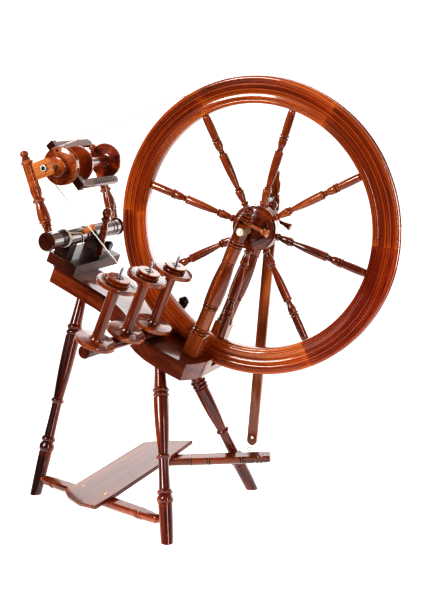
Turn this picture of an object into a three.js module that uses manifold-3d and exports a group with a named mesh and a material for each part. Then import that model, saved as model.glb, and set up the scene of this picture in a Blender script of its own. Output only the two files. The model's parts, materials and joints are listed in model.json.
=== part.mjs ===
// A Saxony-style treadle spinning wheel, in millimetres, +Z up.
//
// It is laid out from the centre of the drive wheel: X runs along the wheel's plane towards the open side,
// Y runs along the axle to the back, and Z is up. The bench is laid out in a tilted frame of its own, with its
// origin on the bench top straight below the axle (square to the bench), x down the slope and z square to the
// bench. The finished wheel is then moved so that its origin is on the floor, under the middle of its box.
import * as THREE from 'three';
import { mergeVertices } from 'three/addons/utils/BufferGeometryUtils.js';
import Module from 'manifold-3d';

const wasm = await Module();
wasm.setup();

// ---------------------------------------------------------------------------------------------------------
// Driving dimensions (mm, degrees)

const gap = 0.3; // left between touching pieces
const runningGap = 0.6; // left round a journal that turns

const wheelRadius = 280;
const rimDepth = 50; // from the outer edge to the inner edge
const rimWidth = 25;
const bandGrooveDepth = 4;
const spokeCount = 8;
const spokePhase = 71.7; // degrees from +X to the first spoke
const felloeCount = 6;
const felloePhase = -64.7; // degrees from +X to the first felloe joint
const hubRadius = 44;
const hubLength = 54;

const axleHeight = 560; // above the floor
const axleRadius = 5;
const axleAboveBench = 265; // measured square to the bench
const wheelClearance = 6; // between the rim and its relief in the bench

const benchSlope = 23; // degrees
const benchThickness = 36;
const benchLeft = -366;
const benchRight = 29;
const benchBack = 88;
const benchFrontNarrow = -11;
const benchFrontWide = -113;

const uprightSpread = 56; // from the wheel's plane to each upright
const uprightOffset = -4; // the uprights stand this far up the slope from the axle
const uprightHeight = 313;
const bushRadius = 8;

const crankRadius = 44.3;
const crankPhase = 89.5; // degrees from +X to the crank, close to its top
const footmanPlane = 88; // Y of the middle of the footman
const footmanThickness = 7;
const footmanLength = 503; // from the crank pin to the foot
const footmanLean = 4.9; // degrees from the vertical

const treadleAxis = new THREE.Vector3(-265.5, -144, 32 - axleHeight);
const treadleYaw = -16.7; // the rail's direction in plan, degrees
const treadleRise = 11; // degrees, with the crank at the top
const railHalf = 165; // half of the rail's turned body
const railPin = 5; // radius of the pins that turn in the legs
const railFlat = 8.5; // height of the planed top of the rail above its axis

const barAxis = new THREE.Vector2(-364.7, 64.5); // the mother-of-all in the bench's frame: x, z
const barRadius = 17;
const barFront = -80;
const barBack = 208;
const maidenLean = -19; // degrees, away from the drive wheel
const maidenHeight = 187; // from the bar's axis to the top of the finial
const frontMaiden = -60;
const rearMaiden = 200;
const flyerOffset = 36.5; // from the maidens' centre line to the flyer's axis
const flyerRise = 139.7; // from the bar's axis to the flyer's axis
const flyerTurn = -50; // degrees from +X to the lower flyer arm
const shaftRadius = 4;
const orificeRadius = 6.5;
const whorlRadius = 39;
const whorlGroove = 36;

const bobbinRadius = 37;
const bobbinCore = 10;

// ---------------------------------------------------------------------------------------------------------
// Materials

const surface = (color, roughness, metalness = 0) => () =>
  new THREE.MeshStandardMaterial({ color, roughness, metalness });
const stainedWood = surface(0x6b2a10, 0.35);
const darkWood = surface(0x35140a, 0.35);
const paleWood = surface(0xc98a55, 0.6);
const steel = surface(0x8d8f92, 0.35, 1);
const cord = surface(0xe9e4d6, 0.9);
const leather = surface(0xa9764c, 0.8);

// ---------------------------------------------------------------------------------------------------------
// Solids

const radians = THREE.MathUtils.degToRad;

/** Joins a geometry's coincident vertices and drops the triangles that collapse. */
function welded(geometry) {
  const bare = geometry.clone();
  bare.deleteAttribute('normal');
  bare.deleteAttribute('uv');
  const merged = mergeVertices(bare, 1e-4);
  const index = merged.index.array;
  const kept = [];
  for (let i = 0; i < index.length; i += 3) {
    const [a, b, c] = [index[i], index[i + 1], index[i + 2]];
    if (a !== b && b !== c && c !== a) kept.push(a, b, c);
  }
  merged.setIndex(kept);
  return merged;
}

function toSolid(geometry) {
  const closed = welded(geometry);
  return new wasm.Manifold(new wasm.Mesh({
    numProp: 3,
    vertProperties: new Float32Array(closed.attributes.position.array),
    triVerts: new Uint32Array(closed.index.array),
  }));
}

function toGeometry(solid) {
  const mesh = solid.getMesh();
  const geometry = new THREE.BufferGeometry();
  geometry.setAttribute('position', new THREE.BufferAttribute(mesh.vertProperties, 3));
  geometry.setIndex(new THREE.BufferAttribute(mesh.triVerts, 1));
  geometry.computeVertexNormals();
  return geometry;
}

const without = (geometry, ...tools) =>
  toGeometry(tools.reduce((solid, tool) => solid.subtract(toSolid(tool)), toSolid(geometry)));
const joined = (geometry, ...others) =>
  toGeometry(others.reduce((solid, other) => solid.add(toSolid(other)), toSolid(geometry)));
const within = (geometry, limit) => toGeometry(toSolid(geometry).intersect(toSolid(limit)));

/** A cylinder standing on z = 0. */
function post(radius, length, segments = 16) {
  return new THREE.CylinderGeometry(radius, radius, length, segments).rotateX(Math.PI / 2)
    .translate(0, 0, length / 2);
}

/** A cylinder along Y, from one Y to another, through (x, z). */
function pin(radius, from, to, x = 0, z = 0, segments = 16) {
  return new THREE.CylinderGeometry(radius, radius, to - from, segments).translate(x, (from + to) / 2, z);
}

/** A box from its lowest to its highest corner. */
function block(x0, y0, z0, x1, y1, z1) {
  return new THREE.BoxGeometry(x1 - x0, y1 - y0, z1 - z0)
    .translate((x0 + x1) / 2, (y0 + y1) / 2, (z0 + z1) / 2);
}

/** A flat plate with an outline in x and y, from z = 0 up. */
function plate(outline, thickness, curveSegments = 8) {
  return new THREE.ExtrudeGeometry(outline, { depth: thickness, bevelEnabled: false, curveSegments });
}

function polygon(points) {
  return new THREE.Shape(points.map(([x, y]) => new THREE.Vector2(x, y)));
}

// ---------------------------------------------------------------------------------------------------------
// Turned work: a profile is a list of elements, each with a share of the length and a radius along itself

const plain = (share, radius) => ({ share, steps: 1, radius: () => radius });
const cone = (share, from, to) => ({ share, steps: 1, radius: (t) => from + (to - from) * t });
const bead = (share, waist, crown, steps = 2) =>
  ({ share, steps, radius: (t) => waist + (crown - waist) * Math.sin(Math.PI * t) });
const vase = (share, from, to, swell, steps = 3) =>
  ({ share, steps, radius: (t) => from + (to - from) * t + swell * Math.sin(Math.PI * t) });
const ball = (share, radius, steps = 4) =>
  ({ share, steps, radius: (t) => radius * Math.sqrt(Math.max(0, 1 - (1.85 * t - 0.85) ** 2)) });

/** Turns a profile about +Z, from z = 0 to the given length. */
function turned(elements, length, segments = 16) {
  const total = elements.reduce((sum, element) => sum + element.share, 0);
  const points = [new THREE.Vector2(0, 0)];
  let start = 0;
  for (const element of elements) {
    const stretch = (element.share / total) * length;
    for (let i = 0; i <= element.steps; i += 1) {
      const t = i / element.steps;
      const point = new THREE.Vector2(element.radius(t), start + stretch * t);
      if (point.distanceTo(points.at(-1)) > 0.01) points.push(point);
    }
    start += stretch;
  }
  if (points.at(-1).x > 0.01) points.push(new THREE.Vector2(0, length));
  else points.at(-1).x = 0;
  return new THREE.LatheGeometry(points, segments).rotateX(Math.PI / 2);
}

const alongY = (geometry) => geometry.rotateX(-Math.PI / 2);

// ---------------------------------------------------------------------------------------------------------
// The scene graph

const wheelwright = new THREE.Group(); // origin at the centre of the drive wheel

function part(name, geometry, material, parent = wheelwright) {
  const mesh = new THREE.Mesh(geometry, material());
  mesh.name = name;
  parent.add(mesh);
  return mesh;
}

/** Stands a piece that runs along +Z on one point, aimed at another. */
function aim(object, from, to) {
  object.position.copy(from);
  object.quaternion.setFromUnitVectors(new THREE.Vector3(0, 0, 1), to.clone().sub(from).normalize());
  return object;
}

/** Cuts a piece with a tool that is given in another object's frame. */
function cut(target, frame, ...tools) {
  wheelwright.updateMatrixWorld(true);
  const toTarget = target.matrixWorld.clone().invert().multiply(frame.matrixWorld);
  target.geometry = without(target.geometry, ...tools.map((tool) => tool.applyMatrix4(toTarget)));
}

const benchFrame = new THREE.Group();
benchFrame.rotation.y = radians(benchSlope);
benchFrame.position.set(0, 0, -axleAboveBench).applyEuler(benchFrame.rotation);
wheelwright.add(benchFrame);

const fromBench = (x, y, z) => benchFrame.localToWorld(new THREE.Vector3(x, y, z));

// ---------------------------------------------------------------------------------------------------------
// Bench and legs

function makeBench() {
  const outline = new THREE.Shape();
  outline.moveTo(benchLeft, benchFrontNarrow);
  outline.lineTo(-245, benchFrontNarrow - 6);
  outline.bezierCurveTo(-150, -24, -130, benchFrontWide, -40, benchFrontWide);
  outline.lineTo(benchRight - 16, benchFrontWide + 4);
  outline.quadraticCurveTo(benchRight, -70, benchRight, -40);
  outline.lineTo(benchRight, benchBack - 14);
  outline.lineTo(benchRight - 14, benchBack);
  outline.lineTo(benchLeft, benchBack);
  const plank = plate(outline, benchThickness).translate(0, 0, -benchThickness);
  const reliefRadius = wheelRadius + wheelClearance;
  const reliefHalf = rimWidth / 2 + wheelClearance;
  const relief = pin(reliefRadius, -reliefHalf, reliefHalf, 0, axleAboveBench, 96);
  return part('bench', without(plank, relief), stainedWood, benchFrame);
}

// Each leg's foot on the floor, and the point where its axis meets the underside of the bench (bench frame)
const legPlaces = {
  leg_front_left: { foot: [-442, -101], top: [-305, 30], depth: 22 },
  leg_front_right: { foot: [-81.5, -212.5], top: [-52, -76], depth: 22 },
  leg_rear: { foot: [-53, 114], top: [-38, 6], depth: 12 },
};
const legRadius = 10.5;
const legProfile = [
  cone(21.5, 11.2, 13.8), bead(4, 13.6, 15.8), bead(3, 12, 15), cone(15, 10.4, 10), bead(2.5, 10.2, 13.6),
  vase(29, 10, 15, 1.5, 4), bead(2.5, 14, 15.8), bead(2.5, 13, 16.2), cone(10.5, 12.4, legRadius), plain(9.5, legRadius),
];

function makeLeg(name, bench) {
  const { foot, top, depth } = legPlaces[name];
  const floor = new THREE.Vector3(foot[0], foot[1], -axleHeight);
  const underside = fromBench(top[0], top[1], -benchThickness);
  const direction = underside.clone().sub(floor).normalize();
  const spare = 10; // trimmed off again at the floor
  const start = floor.clone().addScaledVector(direction, -spare);
  const length = start.distanceTo(underside) + depth;
  const leg = part(name, turned(legProfile, length, 10), stainedWood);
  aim(leg, start, underside);
  const [x, y] = foot;
  cut(leg, wheelwright, block(x - 60, y - 60, -axleHeight - 60, x + 60, y + 60, -axleHeight));
  cut(bench, leg, post(legRadius + gap, 60, 10).translate(0, 0, length - 60 + gap));
  return leg;
}

// ---------------------------------------------------------------------------------------------------------
// Wheel uprights, with the bushes that the axle turns in and the pegs that hold it down

const uprightBase = 30;
const uprightBaseHeight = 46;
const tenonRadius = 10;
const tenonDepth = 25;
const uprightProfile = [
  plain(46, 14), bead(7, 13, 17), bead(7, 12, 15.5), plain(40, 14), bead(6, 13, 16), bead(6, 13, 16),
  vase(84, 16, 12.5, 2), bead(5, 12, 14), cone(32, 13, 14), bead(6, 12, 15), bead(6, 12, 15),
  plain(40, 14.5), cone(4, 14.5, 10), bead(8, 9, 13), ball(16, 10),
];
const pegRise = 16; // from the axle to the peg's axis
const pegProfile = [plain(58, 4), bead(4, 5, 7), cone(7, 5, 7), plain(3, 7)];

function makeUpright(place, bench, side) {
  const y = side * uprightSpread;
  const frame = new THREE.Group();
  frame.position.set(uprightOffset, y, gap);
  benchFrame.add(frame);
  const half = uprightBase / 2;
  const body = joined(
    turned(uprightProfile, uprightHeight, 12),
    block(-half, -half, 0, half, half, uprightBaseHeight),
    post(tenonRadius, tenonDepth + 5, 10).translate(0, 0, -tenonDepth),
  );
  const axleRise = axleAboveBench - gap;
  const bore = pin(bushRadius + gap, -40, 40, -uprightOffset, axleRise);
  const pegHole = post(4 + gap, 80, 8).rotateY(Math.PI / 2).translate(-40, 0, axleRise + pegRise);
  const upright = part(`wheel_upright_${place}`, without(body, bore, pegHole), stainedWood, frame);
  cut(bench, upright, post(tenonRadius + gap, 60, 10).translate(0, 0, -tenonDepth - gap));

  const ring = without(pin(bushRadius, -17, 17), pin(axleRadius + runningGap, -20, 20));
  const bush = part(`axle_bush_${place}`, ring, leather, frame);
  bush.position.set(-uprightOffset, 0, axleRise);

  const peg = part(`axle_peg_${place}`, turned(pegProfile, 66, 8), stainedWood, frame);
  peg.rotation.y = Math.PI / 2;
  peg.position.set(-16, 0, axleRise + pegRise);
}

// ---------------------------------------------------------------------------------------------------------
// Drive wheel

const rimInner = wheelRadius - rimDepth;

function rimSection() {
  const half = rimWidth / 2;
  const side = [
    [rimInner, half - 4], [rimInner + 3, half], [wheelRadius - 4, half], [wheelRadius, half - 4],
    [wheelRadius, 5], [wheelRadius - bandGrooveDepth, 2],
  ];
  const mirrored = side.map(([radius, y]) => [radius, -y]).reverse();
  const loop = [...side, ...mirrored, side[0]];
  return loop.reverse().map(([radius, y]) => new THREE.Vector2(radius, y));
}

/** The part of the wheel's plane between two angles, as a thick wedge. */
function sector(from, to, reach) {
  const shape = new THREE.Shape();
  shape.moveTo(0, 0);
  const steps = 4;
  for (let i = 0; i <= steps; i += 1) {
    const angle = radians(from + ((to - from) * i) / steps);
    shape.lineTo(reach * Math.cos(angle), reach * Math.sin(angle));
  }
  return plate(shape, 100).translate(0, 0, -50).rotateX(Math.PI / 2);
}

const hubProfile = [
  cone(5, 24, 30), cone(5, 32, 38), bead(5, 38, 41), plain(24, hubRadius), bead(5, 38, 41),
  cone(5, 37, 30), plain(5, 26),
];
const spokeTenon = 9;
const spokeProfile = [
  plain(2, 5), bead(5, 5.5, 7.5), vase(24, 7, 5, 3), bead(5, 5, 8), vase(66, 4.5, 8, 1.5, 4), bead(5, 6, 9),
  cone(14, 5, 7.5), bead(6, 7, 9.5), bead(6, 7, 9.5), plain(44, 7.5),
];

function makeDriveWheel() {
  const ring = new THREE.LatheGeometry(rimSection(), 66).rotateX(Math.PI);
  const felloes = [];
  for (let i = 0; i < felloeCount; i += 1) {
    const span = 360 / felloeCount;
    const kerf = THREE.MathUtils.radToDeg(gap / wheelRadius) / 2;
    const from = felloePhase + span * i;
    const wedge = sector(from + kerf, from + span - kerf, wheelRadius * 1.2);
    felloes.push(part(`felloe_${i + 1}`, within(ring, wedge), stainedWood));
  }

  const hubBody = alongY(turned(hubProfile, hubLength, 24)).translate(0, -hubLength / 2, 0);
  const hub = part('hub', without(hubBody, pin(axleRadius + gap, -60, 60)), stainedWood);

  const spokeLength = rimInner - hubRadius + 2 * spokeTenon;
  for (let i = 0; i < spokeCount; i += 1) {
    const angle = radians(spokePhase + (360 / spokeCount) * i);
    const outward = new THREE.Vector3(Math.cos(angle), 0, Math.sin(angle));
    const spoke = part(`spoke_${i + 1}`, spokeShape(spokeLength), stainedWood);
    aim(spoke, outward.clone().multiplyScalar(hubRadius - spokeTenon), outward.clone().multiplyScalar(wheelRadius));
    const socket = () => post(5 + gap, spokeTenon + 4, 8);
    cut(hub, spoke, socket().translate(0, 0, -gap));
    for (const felloe of felloes) {
      cut(felloe, spoke, socket().translate(0, 0, spokeLength - spokeTenon - 4 + gap));
    }
  }
}

/** A turned spoke between a tenon for the hub and a tenon for the rim. */
function spokeShape(length) {
  const shoulder = spokeTenon + 0.8;
  const body = turned(spokeProfile, length - 2 * shoulder, 8).translate(0, 0, shoulder);
  return joined(body, post(5, length, 8));
}

const crankPoint = new THREE.Vector2(crankRadius, 0).rotateAround(new THREE.Vector2(), radians(crankPhase));

/** The steel axle and its crank arm behind the rear upright, with a short stub where the footman hangs. */
function makeAxle() {
  const footmanFront = footmanPlane - footmanThickness / 2;
  const armBack = footmanFront - 2.5;
  const armFront = armBack - 7;
  const shaft = pin(axleRadius, -uprightSpread - 18, armBack);
  const arm = block(-7, armFront, -6, crankRadius + 6, armBack, 6).rotateY(-radians(crankPhase));
  const stub = pin(4, armFront - 1.5, footmanFront - 1, crankPoint.x, crankPoint.y);
  part('axle_crank', joined(shaft, arm, stub), steel);
}

// ---------------------------------------------------------------------------------------------------------
// Footman: the stick between the crank and the treadle

function makeFootman() {
  const half = 10.5;
  const headHalf = 14;
  const head = 58;
  const end = -footmanLength;
  const outline = new THREE.Shape();
  outline.moveTo(-half, end + half);
  outline.absarc(0, end + half, half, Math.PI, 2 * Math.PI);
  outline.lineTo(half, -22);
  outline.quadraticCurveTo(headHalf, -16, headHalf, -6);
  outline.quadraticCurveTo(headHalf, 8, 8, 12);
  outline.quadraticCurveTo(headHalf, 22, headHalf - 2, 34);
  outline.quadraticCurveTo(8, 40, 9, 50);
  outline.quadraticCurveTo(6, head, 0, head);
  outline.quadraticCurveTo(-9, head - 6, -8, 42);
  outline.quadraticCurveTo(-headHalf, 34, -headHalf + 1, 24);
  outline.quadraticCurveTo(-7, 18, -8, 12);
  outline.quadraticCurveTo(-headHalf, 8, -headHalf, -6);
  outline.quadraticCurveTo(-headHalf, -16, -half, -22);
  const stick = plate(outline, footmanThickness, 4).rotateX(Math.PI / 2)
    .translate(0, footmanThickness / 2, 0);
  const crankHole = pin(4 + 0.5, -20, 20);
  const tieHole = pin(3, -20, 20, 0, end + 16, 8);
  const footman = part('footman', without(stick, crankHole, tieHole), stainedWood);
  footman.position.set(crankPoint.x, footmanPlane, crankPoint.y);
  footman.rotation.y = radians(footmanLean);

  const headStart = footmanThickness / 2 + gap;
  const screw = joined(pin(4, -footmanThickness / 2, headStart + 1), pin(7.5, headStart, headStart + 3));
  part('footman_screw', screw, steel).position.copy(footman.position);
}

// ---------------------------------------------------------------------------------------------------------
// Treadle: a rail that turns in two legs, a board on it, and a turned bar out to the footman

const railProfile = [
  plain(8, 8), bead(9, 9, 12), bead(9, 9, 12), cone(14, 9, 11), plain(116, 11.5), plain(116, 11.5),
  cone(20, 11, 9), bead(9, 9, 12), bead(9, 9, 12), plain(26, 10),
];
const treadleBarRadius = 12.5;
const treadleBarProfile = [
  plain(34, 12), bead(3, 12, 13.5), plain(12, treadleBarRadius), bead(3, 12, 13.5), plain(24, treadleBarRadius),
  bead(3, 11.5, 13), plain(8, 12), cone(1, 12, 11), vase(12, 13, 10, 2),
];

function makeTreadle(legs) {
  const yaw = new THREE.Group();
  yaw.position.copy(treadleAxis);
  yaw.rotation.z = radians(treadleYaw);
  const treadle = new THREE.Group();
  treadle.rotation.x = radians(treadleRise);
  yaw.add(treadle);
  wheelwright.add(yaw);

  const flatAbove = (height) => block(-400, -40, height, 400, 40, height + 60);
  const pinReach = railHalf + 10;
  const across = (geometry, start) => geometry.rotateY(Math.PI / 2).translate(start, 0, 0);
  const railBody = without(across(turned(railProfile, 2 * railHalf, 10), -railHalf), flatAbove(railFlat));
  const rail = part('treadle_rail', joined(railBody, across(post(railPin, 2 * pinReach, 8), -pinReach)),
    stainedWood, treadle);
  for (const leg of legs) {
    cut(leg, rail, across(post(railPin + runningGap, 2 * pinReach + 2, 8), -pinReach - 1));
  }

  const boardThickness = 8;
  const board = plate(polygon([
    [-68, -28], [-39, -44], [1, -51], [40, -45], [41, 12], [34, 137], [22, 252], [-43, 220], [-70, 196],
    [-63, 1],
  ]), boardThickness);
  part('treadle_board', board.translate(0, 0, railFlat + gap), stainedWood, treadle);

  const start = new THREE.Vector3(-23.5, 161.7, 0);
  const end = new THREE.Vector3(196.5, 291.7, 2);
  const length = start.distanceTo(end);
  const bar = part('treadle_bar', turned(treadleBarProfile, length, 10), stainedWood, treadle);
  aim(bar, start, end);
  cut(bar, treadle, block(-200, 0, railFlat, 400, 400, railFlat + 60));

  const hook = part('footman_hook', post(1.5, 25, 8), steel);
  const foot = crankPoint.clone().add(new THREE.Vector2(0, -footmanLength)
    .rotateAround(new THREE.Vector2(), -radians(footmanLean)));
  aim(hook, new THREE.Vector3(foot.x, footmanPlane - 24, foot.y - 16),
    new THREE.Vector3(foot.x, footmanPlane - 2, foot.y - 1));
  cut(bar, hook, post(1.5 + gap, 40, 8).translate(0, 0, -gap));
}

// ---------------------------------------------------------------------------------------------------------
// Lazy kate: a rail on the bench with three steel rods and a bobbin on each, and the peg behind the wheel

const kateRailRadius = 12;
const kateFront = [-101, -308];
const kateBack = [-82, -34];
const kateRods = [[-98, -283], [-91.5, -186], [-85, -93]];
const rodRadius = 2.5;
const rodHeight = 178;
const storedBobbinBase = 26;

const pulleyShare = 0.56; // the radius of a bobbin's small pulley, as a share of its flanges'
const pulleyGroove = 4;

/** A bobbin standing on z = 0: a flange, a core, a flange, and a small grooved pulley. */
function bobbinShape(height, flange, pulley, bore) {
  const core = height - 2 * flange - pulley;
  const small = bobbinRadius * pulleyShare;
  const disc = vase(flange, bobbinRadius - 1.2, bobbinRadius - 1.2, 1.2, 2);
  const body = turned([
    disc, plain(core, bobbinCore), disc,
    plain(pulley * 0.3, small), vase(pulley * 0.4, small, small, -pulleyGroove, 2), plain(pulley * 0.3, small),
  ], height, 18);
  return without(body, post(bore, height + 20, 8).translate(0, 0, -10));
}

function makeKate() {
  const railStart = new THREE.Vector3(kateFront[0], kateFront[1], kateRailRadius + gap);
  const railEnd = new THREE.Vector3(kateBack[0], kateBack[1], kateRailRadius + gap);
  const length = railStart.distanceTo(railEnd);
  const rail = part('kate_rail', turned([plain(1, kateRailRadius)], length, 12), stainedWood, benchFrame);
  aim(rail, railStart, railEnd);
  kateRods.forEach(([x, y], i) => {
    const foot = kateRailRadius;
    const rod = part(`kate_rod_${i + 1}`, post(rodRadius, rodHeight - foot, 8), steel, benchFrame);
    rod.position.set(x, y, foot);
    cut(rail, rod, post(rodRadius + gap, 40, 8).translate(0, 0, -gap));
    const bobbin = part(`kate_bobbin_${i + 1}`, bobbinShape(131, 8, 9, rodRadius + 0.8), stainedWood, benchFrame);
    bobbin.position.set(x, y, storedBobbinBase);
  });
}

function makeStoragePeg(bench) {
  const profile = [plain(20, 5), plain(12, 6), cone(12, 6, 10), bead(14, 9, 11), cone(3, 6, 4)];
  const depth = 14;
  const peg = part('storage_peg', turned(profile, 64, 10), darkWood, benchFrame);
  peg.position.set(-104, 66, -depth);
  cut(bench, peg, post(5 + gap, depth + 20, 12).translate(0, 0, -gap));
}

// ---------------------------------------------------------------------------------------------------------
// Mother-of-all: a hinged carrier board with two saddles, the bar, the maidens and their bearings

const carrierThickness = 23;
const carrierLeft = -387;
const carrierRight = -318;
const carrierFront = -12;
const carrierBack = 167;
const handlePlace = [-326, 92]; // tension screw, in the bench's frame

const barProfile = [
  cone(2, 17.5, 19.5), plain(4, 19.5), cone(1, 19.5, barRadius), plain(33, barRadius),
  bead(4, 14.5, 17.5), bead(4, 14.5, 17.5), bead(4, 14.5, 17.5), bead(4, 14.5, 17.5), plain(190, barRadius),
  bead(4, 14.5, 17.5), plain(12, barRadius), bead(4, 14.5, 17.5), bead(8, 13, 19), cone(6, 16, 10),
];
const maidenProfile = [
  plain(10, 8), bead(4, 8, 11), bead(5, 8, 11), bead(7, 10, 13), vase(34, 12.5, 8.5, 1), bead(11, 10, 13),
  vase(22, 9, 11, 1, 2), plain(46, 10.5), cone(7, 10, 13), cone(4, 13, 9), bead(6, 7, 10), ball(14, 8.5),
];

/** The hinge pin under the carrier board, against the bench's upper end. */
function makeTiltHinge() {
  const radius = 2.2;
  const x = benchLeft - radius - gap;
  part('tilt_hinge_pin', pin(radius, carrierFront + 4, benchBack - 6, x, -radius - gap, 10), steel, benchFrame);
}

function makeMotherOfAll() {
  const board = block(carrierLeft, carrierFront, gap, carrierRight, carrierBack, carrierThickness);
  const carrier = part('carrier_board', board, stainedWood, benchFrame);

  const bar = part('mother_of_all_bar', alongY(turned(barProfile, barBack - barFront, 14)), stainedWood, benchFrame);
  bar.position.set(barAxis.x, barFront, barAxis.y);

  const seat = (clearance) => pin(barRadius + clearance, -300, 300, barAxis.x, barAxis.y, 28);
  for (const [place, y] of [['front', 6], ['rear', 122]]) {
    const cheek = block(barAxis.x - 15, y - 14, carrierThickness + gap, barAxis.x + 15, y + 14, barAxis.y - 6);
    part(`bar_saddle_${place}`, without(cheek, seat(gap + 0.8)), stainedWood, benchFrame);
  }

  // The maidens' frame: its origin is on the bar's axis and its z runs up the maidens.
  const frame = new THREE.Group();
  frame.position.set(barAxis.x, 0, barAxis.y);
  frame.rotation.y = radians(maidenLean - benchSlope);
  benchFrame.add(frame);
  for (const [place, y] of [['front', frontMaiden], ['rear', rearMaiden]]) {
    const depth = 6; // the tenon starts this far above the bar's axis
    const collar = barRadius + 1;
    const body = joined(
      turned(maidenProfile, maidenHeight - collar, 10).translate(0, 0, collar),
      post(6, collar + 4, 8).translate(0, 0, depth),
    );
    const maiden = part(`maiden_${place}`, body, stainedWood, frame);
    maiden.position.set(0, y, 0);
    cut(bar, maiden, post(6 + gap, 40, 8).translate(0, 0, depth - gap));
    part(`flyer_bearing_${place}`, bearingPlate(), paleWood, frame).position.set(0, y, flyerRise);
  }

  const peg = part('brake_peg', turned([plain(12, 5), plain(22, 6.5), cone(2, 6.5, 5)], 36, 12), paleWood, benchFrame);
  aim(peg, new THREE.Vector3(barAxis.x + 7, 34, barAxis.y + 8),
    new THREE.Vector3(barAxis.x + 14, 34, barAxis.y + 16));
  cut(bar, peg, post(5 + gap, 40, 12).translate(0, 0, -gap));

  makeTensionScrew(carrier);
  return frame;
}

/** A flat plate that holds the flyer's shaft, beside a maiden. */
function bearingPlate() {
  const half = 17;
  const reach = flyerOffset + 15;
  const outline = new THREE.Shape();
  outline.moveTo(11, -half);
  outline.lineTo(reach, -half);
  outline.quadraticCurveTo(reach + 6, 0, reach, half);
  outline.lineTo(11, half);
  const sheet = plate(outline, 5).rotateX(Math.PI / 2).translate(0, 2.5, 0);
  return without(sheet, pin(orificeRadius + 0.6, -20, 20, flyerOffset, 0, 18));
}

function makeTensionScrew(carrier) {
  const [x, y] = handlePlace;
  const lean = new THREE.Group();
  lean.position.set(x, y, gap + 1);
  lean.rotation.y = radians(-9);
  benchFrame.add(lean);
  const handleProfile = [
    plain(25, 3), plain(27, 8), cone(2, 5, 7), vase(43, 7, 7.5, 1.5), bead(5, 6, 10), cone(4, 5, 8),
    ball(21, 10.5),
  ];
  const handle = part('tension_handle', turned(handleProfile, 130, 10), stainedWood, lean);
  cut(carrier, handle, post(3 + 0.5, 80, 12).translate(0, 0, -10));

  const knobProfile = [plain(8, 2.5), cone(6, 6, 9), bead(8, 9, 10.5, 3)];
  const knob = part('lock_knob', turned(knobProfile, 24, 12), darkWood, benchFrame);
  knob.rotation.y = Math.PI / 2;
  knob.position.set(barAxis.x + 15 + gap, 124, barAxis.y - 20);
}

// ---------------------------------------------------------------------------------------------------------
// Flyer: a shaft with the orifice, the whorl, the crossbar, two arms and the bobbin

const shaftFront = -66;
const shaftBack = 208;
const crossbarFront = 12;
const crossbarBack = 28;
const armEnd = 165;
const armInner = 40;
const armOuter = 58;
const bobbinFront = 58;
const bobbinBack = 190;
const pulleyWidth = 12;

function makeFlyer(maidens) {
  const flyer = new THREE.Group();
  flyer.position.set(flyerOffset, 0, flyerRise);
  flyer.rotation.y = -radians(flyerTurn) - radians(maidenLean);
  maidens.add(flyer);

  const tube = without(pin(orificeRadius, shaftFront, -24, 0, 0, 18), pin(4.6, shaftFront - 10, -40, 0, 0, 12));
  const eye = post(3.5, 30, 10).translate(0, -46, 0);
  const rod = pin(shaftRadius, -36, shaftBack, 0, 0, 12);
  part('flyer_shaft', without(joined(tube, rod), eye), steel, flyer);

  const disc = alongY(turned([
    cone(2, 19, 21), vase(10, 20, 20, -3, 2), plain(2, 21), cone(2, whorlRadius - 2, whorlRadius),
    cone(3, whorlRadius, whorlGroove), plain(6, whorlGroove), cone(3, whorlGroove, whorlRadius),
    cone(2, whorlRadius, whorlRadius - 2),
  ], 30, 22)).translate(0, -22, 0);
  part('flyer_whorl', without(disc, pin(shaftRadius + gap, -60, 60, 0, 0, 12)), stainedWood, flyer);

  const crossbar = block(-armOuter, crossbarFront, -9, armOuter, crossbarBack, 9);
  part('flyer_crossbar', without(crossbar, pin(shaftRadius + gap, -60, 60, 0, 0, 12)), stainedWood, flyer);
  for (const [place, side] of [['lower', 1], ['upper', -1]]) {
    const outline = polygon([
      [armInner, crossbarBack + gap], [armOuter, crossbarBack + gap], [armOuter, armEnd - 8],
      [armOuter - 5, armEnd], [armInner + 5, armEnd], [armInner, armEnd - 8],
    ]);
    const arm = plate(outline, 8).translate(0, 0, -4);
    if (side < 0) arm.rotateY(Math.PI);
    part(`flyer_arm_${place}`, arm, stainedWood, flyer);
  }

  const spool = alongY(bobbinShape(bobbinBack - bobbinFront, 7, pulleyWidth, shaftRadius + 0.7))
    .translate(0, bobbinFront, 0);
  part('flyer_bobbin', spool, stainedWood, flyer);
}

// ---------------------------------------------------------------------------------------------------------
// Cords: the band that drives the flyer, and the band that brakes its bobbin

const bandRadius = 1.2;

/** The outline of an open belt round two circles, the big one at the origin. */
function beltOutline(big, small, centre, grow) {
  const facing = Math.atan2(centre.y, centre.x);
  const spread = Math.acos((big - small) / centre.length());
  const arc = (middle, radius, from, to, steps) => Array.from({ length: steps + 1 }, (_, i) => {
    const angle = from + ((to - from) * i) / steps;
    return new THREE.Vector2(Math.cos(angle), Math.sin(angle)).multiplyScalar(radius).add(middle);
  });
  return [
    ...arc(new THREE.Vector2(), big + grow, facing + spread, facing - spread + 2 * Math.PI, 60),
    ...arc(centre, small + grow, facing - spread, facing + spread, 12),
  ];
}

/** An open belt of square section in the plane y = 0, round the origin and a smaller circle at centre. */
function belt(big, small, centre, half) {
  const outline = new THREE.Shape(beltOutline(big, small, centre, half));
  outline.holes.push(new THREE.Path(beltOutline(big, small, centre, -half)));
  return plate(outline, 2 * half).rotateX(Math.PI / 2).translate(0, half, 0);
}

function makeDriveBand(centre) {
  const big = wheelRadius - bandGrooveDepth + gap + bandRadius;
  const small = whorlGroove + gap + bandRadius;
  part('drive_band', belt(big, small, centre, bandRadius), cord);
}

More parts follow.
